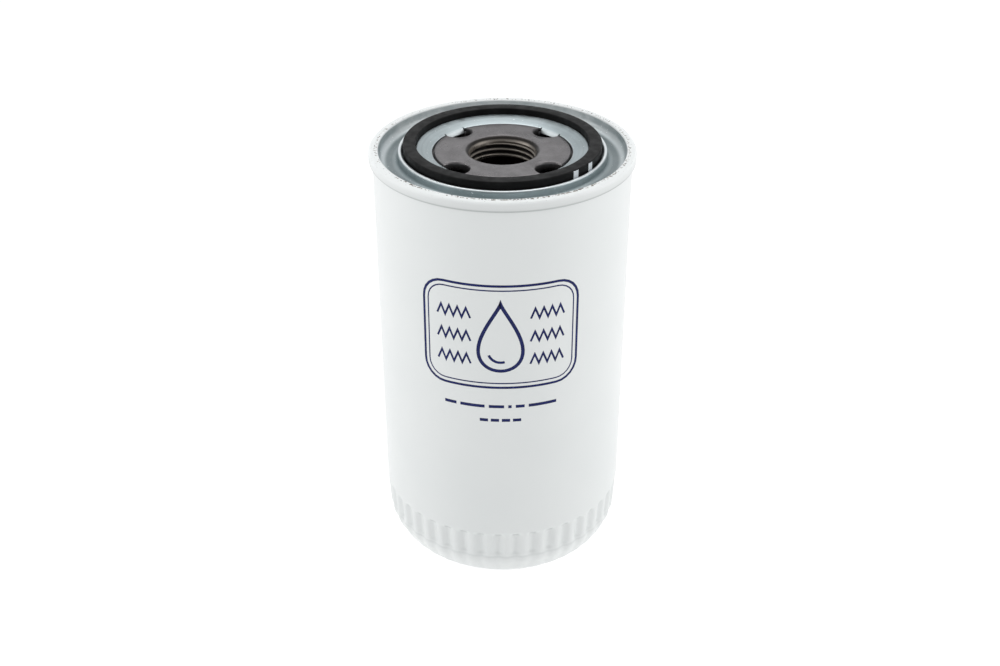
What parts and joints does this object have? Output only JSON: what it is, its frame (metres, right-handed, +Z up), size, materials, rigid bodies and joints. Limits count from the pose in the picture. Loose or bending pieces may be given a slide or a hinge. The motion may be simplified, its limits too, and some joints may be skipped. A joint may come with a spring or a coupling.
{
  "type": "oil filter",
  "caption": "Spin-on engine oil filter: painted fluted steel canister, rolled seam, threaded base plate with inlet holes, rubber gasket, pleated element and bypass valve inside.",
  "frame": {"origin": "middle of the canister's flat standing ring, at the bottom", "axes": "+Z up the filter's axis through the thread, from the domed end to the gasket; +X and +Y square to it, with each oil inlet halfway between two of them"},
  "size_m": [0.0958, 0.0958, 0.1698],
  "materials": {
    "white_paint": "satin gloss white enamel",
    "zinc_plate": "pale zinc-plated sheet",
    "phosphated_steel": "dark phosphated plate",
    "seam_compound": "matt",
    "gasket_rubber": "satin",
    "valve_rubber": "matt",
    "tinned_steel": "bright tinned sheet",
    "tube_steel": "mill finish",
    "potting": "matt cured adhesive",
    "filter_paper": "resin-treated paper",
    "spring_steel": "oiled spring wire"
  },
  "bodies": {
    "housing": {"canister": "white_paint", "seaming_lid": "zinc_plate", "seam_sealing_compound": "seam_compound", "threaded_base_plate": "phosphated_steel", "sealing_gasket": "gasket_rubber", "element_support_spring": "spring_steel"},
    "drainback_valve": {"anti_drainback_valve": "valve_rubber"},
    "element": {"upper_end_cap": "tinned_steel", "lower_end_cap": "tinned_steel", "upper_potting_ring": "potting", "lower_potting_ring": "potting", "pleated_media": "filter_paper", "media_seam_clip": "tinned_steel", "center_tube": "tube_steel", "bypass_valve_seat": "tinned_steel", "bypass_valve_cage": "tinned_steel", "bypass_valve_spring": "spring_steel", "spring_seat_cup": "tinned_steel"},
    "bypass_valve": {"bypass_valve_poppet": "tinned_steel", "bypass_valve_seal": "valve_rubber", "bypass_valve_stem": "tinned_steel"}
  },
  "joints": [
    {"name": "drainback_flap_open", "type": "slide", "parent": "housing", "child": "drainback_valve", "axis": [0, 0, -1], "range_m": [0, 0.0015], "stiffness_N_per_m": 400, "springref_m": -0.002},
    {"name": "element_float", "type": "slide", "parent": "housing", "child": "element", "axis": [0, 0, -1], "range_m": [0, 0.0025], "stiffness_N_per_m": 3000, "springref_m": -0.02, "deforming": ["element_support_spring"]},
    {"name": "bypass_valve_lift", "type": "slide", "parent": "element", "child": "bypass_valve", "axis": [0, 0, 1], "range_m": [0, 0.004], "stiffness_N_per_m": 2500, "springref_m": -0.008, "deforming": ["bypass_valve_spring"]}
  ]
}
